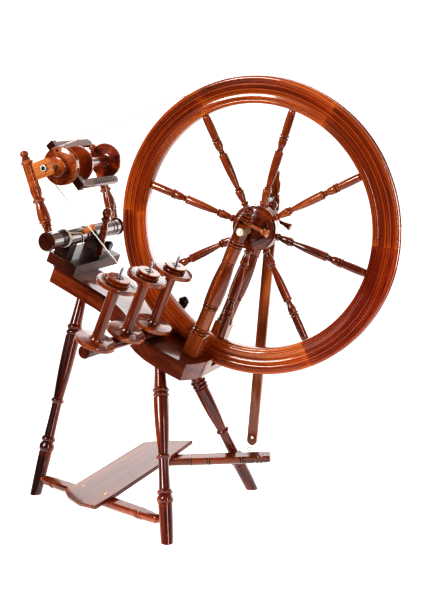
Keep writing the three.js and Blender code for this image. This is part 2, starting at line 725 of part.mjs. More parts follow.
/** The brake band runs over the groove at the back of the flyer bobbin, and is tied down on the bar. */
function makeBrakeBand(maidens) {
  const half = 0.8;
  const wedged = 1.4; // the band rides this far above the bottom of the groove
  const groove = bobbinRadius * pulleyShare - pulleyGroove + wedged;
  const tiedAt = new THREE.Vector2(7 - flyerOffset, barRadius + 4.5 - flyerRise);
  const band = part('brake_band', belt(groove + gap + half, 2, tiedAt, half), cord, maidens);
  band.position.set(flyerOffset, bobbinBack - pulleyWidth / 2, flyerRise);
}

// ---------------------------------------------------------------------------------------------------------
// Assembly

wheelwright.updateMatrixWorld(true);
const bench = makeBench();
const frontLeft = makeLeg('leg_front_left', bench);
const frontRight = makeLeg('leg_front_right', bench);
makeLeg('leg_rear', bench);
makeUpright('front', bench, -1);
makeUpright('rear', bench, 1);
makeDriveWheel();
makeAxle();
makeFootman();
makeTreadle([frontLeft, frontRight]);
makeKate();
makeStoragePeg(bench);
makeTiltHinge();
const maidens = makeMotherOfAll();
makeFlyer(maidens);
wheelwright.updateMatrixWorld(true);
const flyerAxis = maidens.localToWorld(new THREE.Vector3(flyerOffset, 0, flyerRise));
makeDriveBand(new THREE.Vector2(flyerAxis.x, flyerAxis.z));
makeBrakeBand(maidens);

// The origin goes to the floor, under the middle of the whole box.
const spinningWheel = new THREE.Group();
spinningWheel.add(wheelwright);
const box = new THREE.Box3().setFromObject(wheelwright, true);
wheelwright.position.set(-(box.min.x + box.max.x) / 2, -(box.min.y + box.max.y) / 2, axleHeight);
spinningWheel.updateMatrixWorld(true);

export default spinningWheel;
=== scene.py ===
"""The looks of a treadle spinning wheel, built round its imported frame.

Turned pieces are lathed again from the same profiles as their CAD nodes, with fine beads and grooves, and
planks are copied from their nodes and given rounded edges. Local sizes are in millimetres, and shift(),
lathe() and the other builders turn them into metres. Angles are in degrees.
"""

import json
import math
import random

import bmesh
import bpy
from mathutils import Matrix, Vector
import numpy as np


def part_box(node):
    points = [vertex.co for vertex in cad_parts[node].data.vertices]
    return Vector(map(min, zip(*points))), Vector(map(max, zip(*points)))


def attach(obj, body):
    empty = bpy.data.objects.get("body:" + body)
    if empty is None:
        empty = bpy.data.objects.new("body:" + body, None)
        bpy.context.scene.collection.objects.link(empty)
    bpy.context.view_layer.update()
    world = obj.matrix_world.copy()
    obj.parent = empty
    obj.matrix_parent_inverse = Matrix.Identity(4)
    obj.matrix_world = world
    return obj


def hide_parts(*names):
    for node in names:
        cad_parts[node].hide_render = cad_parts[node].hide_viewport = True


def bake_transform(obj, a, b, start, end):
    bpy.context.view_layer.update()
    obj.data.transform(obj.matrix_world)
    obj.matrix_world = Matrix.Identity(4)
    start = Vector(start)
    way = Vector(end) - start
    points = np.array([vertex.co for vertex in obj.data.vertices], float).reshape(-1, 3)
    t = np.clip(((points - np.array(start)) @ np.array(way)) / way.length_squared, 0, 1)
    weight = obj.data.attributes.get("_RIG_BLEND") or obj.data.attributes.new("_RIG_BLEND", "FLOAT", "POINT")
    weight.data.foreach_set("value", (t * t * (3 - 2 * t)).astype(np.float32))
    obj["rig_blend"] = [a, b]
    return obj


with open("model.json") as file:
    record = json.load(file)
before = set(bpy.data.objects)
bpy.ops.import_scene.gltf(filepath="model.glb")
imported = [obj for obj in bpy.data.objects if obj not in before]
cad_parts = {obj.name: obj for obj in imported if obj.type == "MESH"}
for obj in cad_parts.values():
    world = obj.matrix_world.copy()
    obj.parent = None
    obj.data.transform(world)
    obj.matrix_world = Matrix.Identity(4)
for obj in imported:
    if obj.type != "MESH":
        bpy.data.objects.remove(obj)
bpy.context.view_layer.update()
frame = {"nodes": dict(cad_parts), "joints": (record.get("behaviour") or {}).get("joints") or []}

MM = 0.001
nodes = frame["nodes"]
joints = {joint["name"]: joint for joint in frame["joints"]}


def turn(angle, axis):
    return Matrix.Rotation(math.radians(angle), 4, axis)


def shift(x, y, z):
    return Matrix.Translation(Vector((x, y, z)) * MM)


def aim(start, end):
    """Stands a piece that runs along +Z on start, aimed at end."""
    direction = Vector(end) - Vector(start)
    upright = Vector((0, 0, 1)).rotation_difference(direction).to_matrix().to_4x4()
    return shift(*start) @ upright


# ---------------------------------------------------------------------------------------------------------
# Local frames, from the joints

ALONG_Y = turn(-90, "X")  # lays a piece that runs along +Z along +Y
ALONG_X = turn(90, "Y")

gap = 0.3  # between an upright and the bench
wheel_radius = 280
rim_depth = 50
hub_radius = 44
spoke_phase = 71.7
felloe_phase = -64.7
axle_height = joints["wheel_spin"]["pos_m"][2] / MM
axle_above_bench = 265
bench_thickness = 36
bench_lean = joints["kate_bobbin_1_spin"]["axis"]
bench_slope = math.degrees(math.atan2(bench_lean[0], bench_lean[2]))
upright_spread = 56  # from the wheel's plane to an upright's axis
axle_offset = 4  # from an upright's axis to the axle
maiden_lean = -19
flyer_turn = -50
flyer_offset = 36.5  # from a maiden's axis to the flyer's
flyer_rise = 139.7  # from the bar's axis to the flyer's
whorl_y = -22
bar_axis = (-364.7, 64.5)
treadle_axis = (-265.5, -144, 32 - axle_height)
treadle_heading = -16.7
treadle_roll = 11
flange_radius = 37
pulley_radius = flange_radius * 0.56
pulley_groove = 4

WHEEL = Matrix.Translation(Vector(joints["wheel_spin"]["pos_m"]))
BENCH = WHEEL @ turn(bench_slope, "Y") @ shift(0, 0, -axle_above_bench)
BAR = BENCH @ shift(bar_axis[0], 0, bar_axis[1])
MAIDENS = BAR @ turn(maiden_lean - bench_slope, "Y")
FLYER = MAIDENS @ shift(flyer_offset, 0, flyer_rise) @ turn(-flyer_turn - maiden_lean, "Y")
TREADLE = WHEEL @ shift(*treadle_axis) @ turn(treadle_heading, "Z") @ turn(treadle_roll, "X")


# ---------------------------------------------------------------------------------------------------------
# Materials

def graph(name):
    """A new material's nodes, links and principled shader."""
    material = bpy.data.materials.new(name)
    material.use_nodes = True
    tree = material.node_tree
    return material, tree, tree.nodes["Principled BSDF"]


def add(tree, kind, **settings):
    node = tree.nodes.new(kind)
    for name, value in settings.items():
        setattr(node, name, value)
    return node


def stretched(tree, along, across=1.0):
    """The grain coordinates of a piece, drawn out along the grain."""
    source = add(tree, "ShaderNodeAttribute", attribute_name="grain")
    mapping = add(tree, "ShaderNodeMapping")
    mapping.inputs["Scale"].default_value = (across, across, along)
    tree.links.new(source.outputs["Vector"], mapping.inputs["Vector"])
    return mapping.outputs["Vector"]


def noise(tree, vector, scale, detail=3.0, roughness=0.55, distortion=0.0):
    node = add(tree, "ShaderNodeTexNoise")
    node.inputs["Scale"].default_value = scale
    node.inputs["Detail"].default_value = detail
    node.inputs["Roughness"].default_value = roughness
    node.inputs["Distortion"].default_value = distortion
    tree.links.new(vector, node.inputs["Vector"])
    return node.outputs["Fac"]


def ramp(tree, factor, *stops):
    """A colour ramp, from (position, colour) stops."""
    node = add(tree, "ShaderNodeValToRGB")
    elements = node.color_ramp.elements
    while len(elements) < len(stops):
        elements.new(0.5)
    for element, (position, colour) in zip(elements, stops):
        element.position = position
        element.color = (*colour, 1)
    tree.links.new(factor, node.inputs["Fac"])
    return node.outputs["Color"]


def mixed(tree, blend, factor, first, second):
    """Mixes two colours; the factor is a number or an output."""
    node = add(tree, "ShaderNodeMix", data_type="RGBA", blend_type=blend)
    for socket, value in ((node.inputs[0], factor), (node.inputs[6], first), (node.inputs[7], second)):
        if isinstance(value, bpy.types.NodeSocket):
            tree.links.new(value, socket)
        else:
            socket.default_value = value if isinstance(value, float) else (*value, 1)
    return node.outputs[2]


def remapped(tree, value, low, high, start=0.0, end=1.0):
    node = add(tree, "ShaderNodeMapRange")
    node.inputs["From Min"].default_value = start
    node.inputs["From Max"].default_value = end
    node.inputs["To Min"].default_value = low
    node.inputs["To Max"].default_value = high
    tree.links.new(value, node.inputs["Value"])
    return node.outputs["Result"]


def bumped(tree, shader, height, strength, distance):
    node = add(tree, "ShaderNodeBump")
    node.inputs["Strength"].default_value = strength
    node.inputs["Distance"].default_value = distance
    tree.links.new(height, node.inputs["Height"])
    tree.links.new(node.outputs["Normal"], shader.inputs["Normal"])


WHITE = (1.0, 1.0, 1.0)
GREY = (0.5, 0.5, 0.5)


def wood(name, deep, middle, bright, coat=0.8, rough=(0.22, 0.38), figure=42.0):
    """Stained wood: long figure, dark pores, edge wear with painted highlight, grime with painted shade in
    the grooves, under a varnish.
    """
    material, tree, shader = graph(name)
    long_grain = noise(tree, stretched(tree, 0.05), figure, 5.0, 0.62, 0.6)
    colour = ramp(tree, long_grain, (0.34, deep), (0.5, middle), (0.68, bright))
    patches = noise(tree, stretched(tree, 0.35), 16.0, 2.0)
    shade = ramp(tree, patches, (0.3, (0.55, 0.5, 0.5)), (0.65, WHITE))
    colour = mixed(tree, "MULTIPLY", 0.75, colour, shade)
    pores = noise(tree, stretched(tree, 0.025), 900.0, 2.0, 0.6)
    pore_shade = ramp(tree, pores, (0.36, (0.3, 0.24, 0.22)), (0.5, WHITE))
    colour = mixed(tree, "MULTIPLY", 0.7, colour, pore_shade)
    geometry = add(tree, "ShaderNodeNewGeometry")
    # Convex edges drawn towards the bright colour: edge wear and a painted highlight.
    wear_and_highlight = remapped(tree, geometry.outputs["Pointiness"], 0.0, 0.55, 0.515, 0.6)
    colour = mixed(tree, "MIX", wear_and_highlight, colour, bright)
    # Grooves and hollows drawn towards near black: grime and painted shade.
    grime_and_shade = remapped(tree, geometry.outputs["Pointiness"], 0.85, 0.0, 0.40, 0.487)
    colour = mixed(tree, "MIX", grime_and_shade, colour, (0.012, 0.004, 0.002))
    tree.links.new(colour, shader.inputs["Base Color"])
    tree.links.new(remapped(tree, patches, *rough), shader.inputs["Roughness"])
    shader.inputs["Specular IOR Level"].default_value = 0.2
    shader.inputs["Coat Weight"].default_value = coat
    shader.inputs["Coat Roughness"].default_value = 0.08
    shader.inputs["Coat IOR"].default_value = 1.5
    bumped(tree, shader, pores, 0.12, 0.0002)
    return material


def metal(name, colour, rough=(0.2, 0.42), metallic=1.0):
    """Brushed metal with stains, or a smooth plain cap where metallic is 0."""
    material, tree, shader = graph(name)
    brushed = noise(tree, stretched(tree, 0.04), 700.0, 3.0)
    stains = noise(tree, stretched(tree, 1.0), 120.0, 3.0)
    dull = tuple(channel * 0.6 for channel in colour)
    tree.links.new(ramp(tree, stains, (0.35, dull), (0.6, colour)), shader.inputs["Base Color"])
    tree.links.new(remapped(tree, brushed, *rough), shader.inputs["Roughness"])
    shader.inputs["Metallic"].default_value = metallic
    bumped(tree, shader, brushed, 0.1, 0.0001)
    return material


def twine(name, light, shade, pitch):
    """Twisted cord: a slanting wave, with loose fibres, along the grain coordinates. Its darker bands are
    painted shade in the creases between the strands.
    """
    material, tree, shader = graph(name)
    wave = add(tree, "ShaderNodeTexWave", wave_type="BANDS", bands_direction="DIAGONAL")
    wave.inputs["Scale"].default_value = pitch
    wave.inputs["Distortion"].default_value = 1.5
    tree.links.new(stretched(tree, 1.0), wave.inputs["Vector"])
    fibres = noise(tree, stretched(tree, 0.2), 1500.0, 2.0)
    # Bands of the light colour and the shade colour: painted shade between the strands.
    strands = ramp(tree, wave.outputs["Fac"], (0.1, shade), (0.6, light))
    colour = mixed(tree, "MULTIPLY", 0.5, strands, ramp(tree, fibres, (0.3, GREY), (0.6, WHITE)))
    tree.links.new(colour, shader.inputs["Base Color"])
    shader.inputs["Roughness"].default_value = 0.85
    shader.inputs["Sheen Weight"].default_value = 0.3
    bumped(tree, shader, wave.outputs["Fac"], 0.6, 0.0003)
    return material


def hide(name, light, dark):
    """Leather: a fine cell grain with soft stains."""
    material, tree, shader = graph(name)
    cells = add(tree, "ShaderNodeTexVoronoi")
    cells.inputs["Scale"].default_value = 900.0
    tree.links.new(stretched(tree, 1.0), cells.inputs["Vector"])
    stains = noise(tree, stretched(tree, 1.0), 90.0)
    tree.links.new(ramp(tree, stains, (0.35, dark), (0.62, light)), shader.inputs["Base Color"])
    tree.links.new(remapped(tree, stains, 0.45, 0.7), shader.inputs["Roughness"])
    bumped(tree, shader, cells.outputs["Distance"], 0.35, 0.0002)
    return material


RIM = wood("rim_wood", (0.12, 0.013, 0.001), (0.36, 0.052, 0.004), (0.58, 0.15, 0.018), figure=30.0)
DARK_FELLOE = wood(
    "dark_felloe_wood", (0.07, 0.005, 0.001), (0.21, 0.018, 0.002), (0.38, 0.06, 0.007), figure=30.0,
)
TURNED = wood("turned_wood", (0.05, 0.005, 0.001), (0.20, 0.027, 0.003), (0.42, 0.10, 0.016))
UPRIGHT = wood("upright_wood", (0.05, 0.006, 0.001), (0.19, 0.031, 0.004), (0.40, 0.105, 0.018))
BRIGHT = wood("bright_turned_wood", (0.09, 0.012, 0.002), (0.30, 0.052, 0.007), (0.54, 0.15, 0.026))
# The flyer bobbin's wood: its own red-brown, set darker for the shadow on the bobbin, as painted shade.
SPOOL_WITH_SHADE = wood("spool_wood_painted_shade", (0.05, 0.005, 0.001), (0.20, 0.024, 0.003), (0.42, 0.085, 0.012))
# A pale copy of the turned wood for the front axle peg: painted light.
PAINTED_LIGHT_TURNED = wood("pale_turned_wood", (0.20, 0.04, 0.008), (0.50, 0.13, 0.028), (0.72, 0.30, 0.09))
DEEP = wood("deep_wood", (0.018, 0.002, 0.001), (0.10, 0.010, 0.003), (0.28, 0.045, 0.009))
HUB = wood("hub_wood", (0.03, 0.003, 0.001), (0.13, 0.015, 0.003), (0.34, 0.07, 0.014))
# A near-black copy of the wood, for pieces that lie in shadow: painted shade.
SHADED = wood("shaded_wood", (0.008, 0.001, 0.001), (0.045, 0.006, 0.002), (0.15, 0.026, 0.006))
BOARD = wood("board_wood", (0.03, 0.004, 0.001), (0.13, 0.018, 0.004), (0.30, 0.062, 0.014))
TREADLE_BAR = wood("treadle_bar_wood", (0.022, 0.003, 0.001), (0.095, 0.013, 0.002), (0.25, 0.05, 0.009))
BOBBIN = wood("bobbin_wood", (0.05, 0.006, 0.001), (0.18, 0.028, 0.005), (0.38, 0.095, 0.02))
FOOTMAN = wood("footman_wood", (0.08, 0.014, 0.003), (0.27, 0.065, 0.014), (0.46, 0.16, 0.05), figure=60.0)
BLACKENED = wood("dark_wood", (0.003, 0.001, 0.001), (0.012, 0.003, 0.002), (0.05, 0.012, 0.006))
# The bar saddles' wood, near black and matt for the shadow under the bar: painted shade.
SHADOWED_SADDLE = wood(
    "saddle_wood", (0.003, 0.001, 0.001), (0.012, 0.003, 0.002), (0.05, 0.012, 0.006), 0.1, (0.5, 0.65),
)
# The carrier board's wood, darkened nearly to black for the shadow under the bar: painted shade.
SHADOWED_CARRIER = wood(
    "carrier_wood_painted_shade", (0.006, 0.001, 0.001), (0.032, 0.005, 0.002), (0.10, 0.02, 0.006), 0.3, (0.3, 0.45),
)
RAW = wood("raw_wood", (0.36, 0.10, 0.025), (0.60, 0.20, 0.055), (0.76, 0.32, 0.11), 0.05, (0.5, 0.7), 60.0)
STEEL = metal("steel", (0.55, 0.55, 0.56))
WIRE = metal("bright_wire", (0.92, 0.92, 0.93), (0.3, 0.45))
BRASS = metal("brass", (0.66, 0.42, 0.16))
CAP = metal("pale_cap", (0.80, 0.80, 0.70), (0.15, 0.25), 0.0)
CORD = twine("cord", (0.92, 0.90, 0.86), (0.72, 0.69, 0.62), 420.0)
NYLON = twine("pale_line", (0.90, 0.90, 0.88), (0.75, 0.75, 0.74), 500.0)
YARN = twine("yarn", (0.84, 0.79, 0.66), (0.50, 0.44, 0.32), 300.0)
LEATHER = hide("leather", (0.46, 0.25, 0.11), (0.22, 0.10, 0.04))


# ---------------------------------------------------------------------------------------------------------
# Building pieces

GRAIN_ORDER = {"z": (0, 1, 2), "x": (1, 2, 0), "y": (2, 0, 1)}


def set_grain(mesh, name, along="z"):
    """Stores each point's place in the wood it was cut from, with z along the grain."""
    spot = random.Random(name)
    offset = [spot.uniform(-3, 3) for _ in range(3)]
    order = GRAIN_ORDER[along]
    values = []
    for vertex in mesh.vertices:
        values.extend(vertex.co[axis] + offset[i] for i, axis in enumerate(order))
    mesh.attributes.new("grain", "FLOAT_VECTOR", "POINT").data.foreach_set("vector", values)


def piece(name, mesh, place, body, material, replaced=(), along="z", bevel=0.0, sharp=32):
    """Makes a mesh, given in its local frame, into a piece of the wheel that rides on a body."""
    if "grain" not in mesh.attributes:
        set_grain(mesh, name, along)
    mesh.materials.clear()
    mesh.materials.append(material)
    mesh.polygons.foreach_set("use_smooth", [True] * len(mesh.polygons))
    mesh.set_sharp_from_angle(angle=math.radians(sharp))
    thing = bpy.data.objects.new(name, mesh)
    bpy.context.scene.collection.objects.link(thing)
    thing.matrix_world = place
    if bevel:
        rounding = thing.modifiers.new("rounding", "BEVEL")
        rounding.width = bevel * MM
        rounding.segments = 3
        rounding.limit_method = "ANGLE"
        rounding.angle_limit = math.radians(35)
        rounding.harden_normals = True
    if body:
        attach(thing, body)
    if replaced:
        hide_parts(*replaced)
    return thing


def lathe(profile, segments=44):
    """Turns (radius, height) points about +Z. The profile starts and ends on the axis."""
    vertices = []
    rings = []
    for radius, height in profile:
        if radius < 1e-4:
            rings.append([len(vertices)] * segments)
            vertices.append((0, 0, height * MM))
            continue
        rings.append([len(vertices) + i for i in range(segments)])
        for i in range(segments):
            angle = 2 * math.pi * i / segments
            vertices.append((radius * MM * math.cos(angle), radius * MM * math.sin(angle), height * MM))
    faces = []
    for low, high in zip(rings, rings[1:]):
        for i in range(segments):
            j = (i + 1) % segments
            corners = [low[i], low[j], high[j], high[i]]
            face = [corner for k, corner in enumerate(corners) if corner != corners[k - 1]]
            if len(face) > 2:
                faces.append(face)
    mesh = bpy.data.meshes.new("lathe")
    mesh.from_pydata(vertices, [], faces)
    mesh.update()
    return mesh


# The elements of a turned profile: each gives its share of the length, its steps, and its radius at t of the
# way along it.

def plain(share, radius):
    return share, 1, lambda t: radius


def cone(share, start, end):
    return share, 1, lambda t: start + (end - start) * t


def bead(share, waist, crown):
    return share, 8, lambda t: waist + (crown - waist) * math.sin(math.pi * t)


def vase(share, start, end, swell):
    return share, 14, lambda t: start + (end - start) * t + swell * math.sin(math.pi * t)


def ball(share, radius):
    """A ball that starts at a neck and ends at its tip."""
    return share, 14, lambda t: radius * math.sqrt(max(0, 1 - (1.85 * t - 0.85) ** 2))


def turned(elements, length, segments=44):
    """Turns a profile of elements, each with a share of the length, from z = 0 up."""
    total = sum(share for share, _, _ in elements)
    points = [(0, 0)]
    start = 0.0
    for share, steps, radius in elements:
        stretch = share / total * length
        for i in range(steps + 1):
            point = (radius(i / steps), start + stretch * i / steps)
            if math.dist(point, points[-1]) > 0.01:
                points.append(point)
        start += stretch
    if points[-1][0] > 0.05:
        points.append((0, length))
    else:
        points[-1] = (0, points[-1][1])
    return lathe(points, segments)


def box_mesh(low, high):
    builder = bmesh.new()
    size = [(b - a) * MM for a, b in zip(low, high)]
    middle = [(a + b) / 2 * MM for a, b in zip(low, high)]
    placed = Matrix.Translation(middle) @ Matrix.Diagonal((*size, 1))
    bmesh.ops.create_cube(builder, size=1.0, matrix=placed)
    mesh = bpy.data.meshes.new("box")
    builder.to_mesh(mesh)
    builder.free()
    return mesh


def plate_mesh(outline, low, high):
    """A plate with an outline in x and y, from one z to another."""
    builder = bmesh.new()
    base = builder.faces.new([builder.verts.new((x * MM, y * MM, low * MM)) for x, y in outline])
    lifted = bmesh.ops.extrude_face_region(builder, geom=[base])["geom"]
    tops = [part for part in lifted if isinstance(part, bmesh.types.BMVert)]
    bmesh.ops.translate(builder, verts=tops, vec=(0, 0, (high - low) * MM))
    bmesh.ops.recalc_face_normals(builder, faces=builder.faces)
    mesh = bpy.data.meshes.new("plate")
    builder.to_mesh(mesh)
    builder.free()
    return mesh


def tube_mesh(path, radius, sides=10, closed=False):
    """A round tube along points in millimetres. Its grain coordinates run along the path."""
    points = [Vector(point) * MM for point in path]
    count = len(points)
    normal = None
    vertices = []
    grain = []
    travelled = 0.0
    for i, point in enumerate(points):
        before = points[i - 1] if i or closed else point
        after = points[(i + 1) % count] if i < count - 1 or closed else point
        tangent = (after - before).normalized()
        if normal is None:
            normal = tangent.orthogonal().normalized()
        normal = (normal - tangent * normal.dot(tangent)).normalized()
        side = tangent.cross(normal)
        travelled += (point - points[i - 1]).length if i else 0.0
        for k in range(sides):
            angle = 2 * math.pi * k / sides
            spoke = normal * math.cos(angle) + side * math.sin(angle)
            vertices.append(point + spoke * radius * MM)
            grain.extend((radius * MM * math.cos(angle), radius * MM * math.sin(angle), travelled))
    faces = []
    for i in range(count if closed else count - 1):
        for k in range(sides):
            j = (k + 1) % sides
            low, high = i * sides, (i + 1) % count * sides
            faces.append((low + k, low + j, high + j, high + k))
    if not closed:
        faces.append(tuple(reversed(range(sides))))
        faces.append(tuple(range((count - 1) * sides, count * sides)))
    mesh = bpy.data.meshes.new("tube")
    mesh.from_pydata(vertices, [], faces)
    mesh.update()
    mesh.attributes.new("grain", "FLOAT_VECTOR", "POINT").data.foreach_set("vector", grain)
    return mesh


def smooth_path(points, steps=6):
    """A curve through points, with steps between each two."""
    path = []
    ends = [points[0], *points, points[-1]]
    for a, b, c, d in zip(ends, ends[1:], ends[2:], ends[3:]):
        a, b, c, d = Vector(a), Vector(b), Vector(c), Vector(d)
        for i in range(steps):
            t = i / steps
            path.append(0.5 * (2 * b + (c - a) * t + (2 * a - 5 * b + 4 * c - d) * t ** 2
                               + (3 * b - a - 3 * c + d) * t ** 3))
    path.append(Vector(points[-1]))
    return path


def cad_copy(node, place):
    """A node's mesh in a local frame, with its flat faces made whole."""
    mesh = nodes[node].data.copy()
    mesh.transform(place.inverted())
    builder = bmesh.new()
    builder.from_mesh(mesh)
    bmesh.ops.remove_doubles(builder, verts=builder.verts, dist=1e-6)
    bmesh.ops.dissolve_limit(builder, angle_limit=math.radians(1), verts=builder.verts, edges=builder.edges)
    builder.to_mesh(mesh)
    builder.free()
    for attribute in [a.name for a in mesh.attributes if a.name.startswith("custom")]:
        mesh.attributes.remove(mesh.attributes[attribute])
    return mesh


def carved(mesh, *tools):
    """Cuts a mesh with others, all in one local frame."""
    target = bpy.data.objects.new("carved", mesh)
    bpy.context.scene.collection.objects.link(target)
    cutters = []
    for tool in tools:
        cutter = bpy.data.objects.new("cutter", tool)
        bpy.context.scene.collection.objects.link(cutter)
        cutters.append(cutter)
        cut = target.modifiers.new("cut", "BOOLEAN")
        cut.operation = "DIFFERENCE"
        cut.solver = "EXACT"
        cut.object = cutter
    bpy.context.view_layer.update()
    graph_now = bpy.context.evaluated_depsgraph_get()
    result = bpy.data.meshes.new_from_object(target.evaluated_get(graph_now))
    for thing in [target, *cutters]:
        bpy.data.objects.remove(thing)
    return result


def moved(mesh, matrix):
    mesh.transform(matrix)
    return mesh


# ---------------------------------------------------------------------------------------------------------
# Bench, legs and uprights

STAND = "stand"


def make_bench():
    piece("bench_plank", cad_copy("bench", BENCH), BENCH, STAND, BOARD, ["bench"], "x", bevel=2.2)


LEG_PROFILE = [
    vase(21.2, 11.2, 13.6, 0.2), cone(0.4, 12.4, 13.4), bead(3.9, 13.6, 15.8), cone(0.3, 12.4, 11.4),
    bead(2.7, 11.6, 15), vase(15, 10.8, 10, -0.3), bead(2.5, 10.2, 13.6), vase(28.6, 10, 15, 1.5),
    cone(0.4, 15, 13.4), bead(2.3, 13.4, 15.8), bead(2.7, 12.6, 16.2), vase(10.5, 12.8, 10.4, -0.3),
    plain(9.5, 10.4),
]
LEGS = {
    "leg_front_left": ((-442, -101), (-305, 30), 22),
    "leg_front_right": ((-81.5, -212.5), (-52, -76), 22),
    "leg_rear": ((-53, 114), (-38, 6), 12),
}


def make_legs():
    for name, (foot, top, depth) in LEGS.items():
        floor = Vector((*foot, -axle_height))
        underside = WHEEL.inverted() @ BENCH @ (Vector((*top, -bench_thickness)) * MM) / MM
        direction = (underside - floor).normalized()
        spare = 10
        start = floor - direction * spare
        length = (underside - start).length + depth
        place = WHEEL @ aim(start, underside)
        mesh = turned(LEG_PROFILE, length, 48)
        below = moved(box_mesh((-60, -60, -80), (60, 60, 0)), place.inverted() @ WHEEL @ shift(*floor))
        piece(f"{name}_turned", carved(mesh, below), place, STAND, DEEP, [name])


UPRIGHT_PROFILE = [
    plain(43, 13.2), cone(3, 14.8, 13), bead(7, 13, 17), bead(7, 12, 15.5), plain(40, 14), bead(6, 13, 16),
    bead(6, 13, 16), vase(84, 16, 12.5, 2), bead(5, 12, 14), cone(31, 13, 14), cone(1, 14, 12.6),
    bead(6, 12.6, 16), bead(6, 12.6, 15.6), vase(40, 13, 14, 0.4), cone(2, 14, 12), bead(5, 10, 13.4),
    cone(1, 10, 8.6), bead(5, 8.6, 12), cone(2, 8, 7.6), vase(7, 8, 9.4, 0.6), vase(5, 9.4, 5, 0.6),
    vase(2, 4.4, 0, 1.4),
]
PEG_PROFILE = [
    plain(50, 3.4), cone(6, 3.4, 4), bead(3, 4.2, 6), cone(6, 4.6, 6.6), cone(2, 7.2, 7.2), cone(1, 7.2, 6.4),
]


def make_uprights():
    rise = axle_above_bench - gap
    for place_name, side in (("front", -1), ("rear", 1)):
        node = f"wheel_upright_{place_name}"
        place = BENCH @ shift(-axle_offset, side * upright_spread, gap)
        slot = box_mesh((-7, -30, rise + 12.6), (30, 30, rise + 19.6))
        axle = shift(axle_offset, 0, rise) @ ALONG_Y
        bore = moved(lathe([(0, -40), (8.3, -40), (8.3, 40), (0, 40)]), axle)
        mesh = carved(turned(UPRIGHT_PROFILE, 313, 52), slot, bore)
        piece(f"{node}_turned", mesh, place, STAND, UPRIGHT, [node])
        block = box_mesh((-15, -15, 0), (15, 15, 46))
        piece(f"{node}_block", block, place, STAND, UPRIGHT, bevel=1.6)
        bush = lathe([(5.4, -17), (8, -17), (8, 17), (5.4, 17), (5.4, -17)])
        piece(f"axle_bush_{place_name}_sleeve", bush, place @ axle, STAND, LEATHER,
              [f"axle_bush_{place_name}"])
        peg = place @ shift(-16, 0, rise + 16) @ ALONG_X
        # The front peg gets the pale copy and the rear peg the dark wood: painted light and painted shade on
        # one kind of peg.
        piece(f"axle_peg_{place_name}_turned", turned(PEG_PROFILE, 66, 32), peg, STAND,
              PAINTED_LIGHT_TURNED if side < 0 else DEEP, [f"axle_peg_{place_name}"])
    cap = turned([plain(2, 7), vase(5, 7, 0, 2.2)], 7, 32)
    cap_place = BENCH @ shift(0, -upright_spread - 14, axle_above_bench) @ turn(90, "X")
    piece("axle_cap", cap, cap_place, "wheel", CAP)


# ---------------------------------------------------------------------------------------------------------
# Drive wheel

# (radius, half thickness) of the rim, from its inner face over the mouldings to the band groove
RIM_SIDE = [
    (230.0, 8.0), (230.6, 9.6), (232.2, 11.0), (234.2, 11.7), (235.8, 11.3), (236.2, 10.2), (236.6, 11.6),
    (237.8, 12.3), (239.0, 11.6), (239.4, 10.2), (239.8, 11.6), (241.0, 12.4), (242.4, 11.8), (243.2, 10.6),
    (247.0, 9.7), (251.0, 9.6), (253.2, 10.4), (253.8, 11.9), (255.4, 12.5), (256.8, 11.8), (257.2, 10.4),
    (259.0, 10.9), (262.0, 11.0), (262.8, 10.2), (263.2, 11.9), (264.6, 12.5), (266.0, 11.7), (266.4, 10.4),
    (269.0, 10.7), (272.6, 10.4), (273.0, 11.8), (275.0, 12.4), (277.4, 11.8), (279.2, 10.4), (280.0, 8.6),
    (280.0, 5.2), (276.0, 2.0),
]


def rim_mesh(start, end, name, steps=30):
    """A felloe: the rim's moulded section swept between two angles."""
    section = RIM_SIDE + [(radius, -depth) for radius, depth in reversed(RIM_SIDE)]
    rim_middle = 0.255  # metres from the axle, where the grain runs true
    count = len(section)
    vertices = []
    grain = []
    offset = random.Random(name).uniform(-3, 3)
    for i in range(steps + 1):
        angle = math.radians(start + (end - start) * i / steps)
        for radius, depth in section:
            vertices.append((radius * MM * math.cos(angle), depth * MM, radius * MM * math.sin(angle)))
            grain.extend((radius * MM + offset, depth * MM + offset, rim_middle * angle + offset))
    faces = [tuple(range(count)), tuple(reversed(range(steps * count, (steps + 1) * count)))]
    for i in range(steps):
        for k in range(count):
            j = (k + 1) % count
            faces.append((i * count + j, i * count + k, (i + 1) * count + k, (i + 1) * count + j))
    mesh = bpy.data.meshes.new("felloe")
    mesh.from_pydata(vertices, [], faces)
    mesh.update()
    mesh.attributes.new("grain", "FLOAT_VECTOR", "POINT").data.foreach_set("vector", grain)
    return mesh


HUB_PROFILE = [
    cone(1.5, 21, 23.5), plain(3, 24), cone(3.5, 25, 31), bead(4, 31, 34), cone(4, 33, 39),
    bead(5, 38.5, 41.5), cone(1, 42.5, 44), plain(10, 44), bead(3, 43, 44), plain(10, 44),
    cone(1, 44, 42.5), bead(5, 38.5, 41.5), cone(4, 39, 33), cone(4, 32, 26), cone(1, 25, 24),
]
SPOKE_PROFILE = [
    plain(3, 5), bead(6, 5.2, 7.6), vase(15, 4.8, 7.6, 0.6), bead(7, 7, 8.8), cone(1, 6, 5.4), bead(3, 6, 8),
    cone(1, 5.4, 4.8), vase(60, 4.8, 8.4, 1.2), bead(4, 7.5, 9), cone(3, 6.5, 5), bead(3, 5, 6.5),
    vase(15, 5, 8, 1.2), bead(4, 7.5, 9.6), cone(1, 6, 6), bead(4, 7.5, 9.6), vase(40, 7.4, 7.6, 0.5),
    cone(3, 7.4, 6.4),
]


